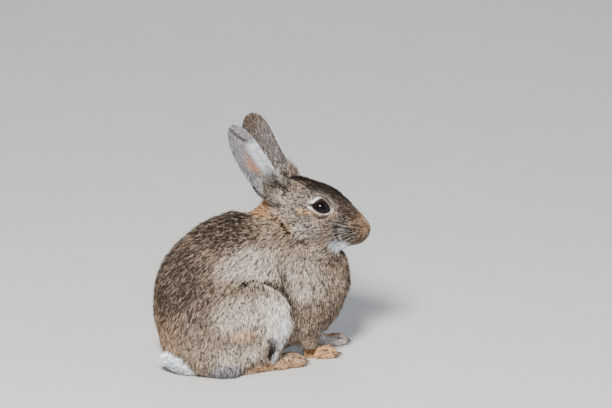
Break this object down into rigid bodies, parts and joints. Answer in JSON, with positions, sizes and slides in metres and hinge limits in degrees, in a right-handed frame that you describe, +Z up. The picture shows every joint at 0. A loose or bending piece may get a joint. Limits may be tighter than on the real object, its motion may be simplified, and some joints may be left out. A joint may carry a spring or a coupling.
{
  "type": "rabbit model",
  "caption": "Still, life-size model of a wild rabbit sitting hunched on all fours, ears up and laid back, parted into head, neck, trunk, tail, legs, feet, ears, eyes and claws.",
  "frame": {"origin": "on the floor, under the middle of the animal's box", "axes": "+X towards the nose, +Y towards the animal's left, +Z up"},
  "size_m": [0.2072, 0.1156, 0.244],
  "materials": {
    "coat": "agouti fur, brown and black tipped over grey",
    "foot_coat": "short rusty buff fur",
    "tail_coat": "fluffy white fur",
    "ear_coat": "very short fur over thin skin",
    "eye": "wet, near-black brown",
    "claw": "dark horn"
  },
  "bodies": {
    "root": {"head": "coat", "neck": "coat", "trunk": "coat", "tail": "tail_coat", "ear_left": "ear_coat", "ear_right": "ear_coat", "eye_left": "eye", "eye_right": "eye", "fore_leg_left": "coat", "fore_leg_right": "coat", "fore_foot_left": "foot_coat", "fore_foot_right": "foot_coat", "hind_leg_left": "coat", "hind_leg_right": "coat", "hind_foot_left": "foot_coat", "hind_foot_right": "foot_coat", "claw_fore_left_1": "claw", "claw_fore_left_2": "claw", "claw_fore_left_3": "claw", "claw_fore_left_4": "claw", "claw_fore_right_1": "claw", "claw_fore_right_2": "claw", "claw_fore_right_3": "claw", "claw_fore_right_4": "claw", "claw_hind_left_1": "claw", "claw_hind_left_2": "claw", "claw_hind_left_3": "claw", "claw_hind_left_4": "claw", "claw_hind_right_1": "claw", "claw_hind_right_2": "claw", "claw_hind_right_3": "claw", "claw_hind_right_4": "claw"}
  },
  "joints": []
}
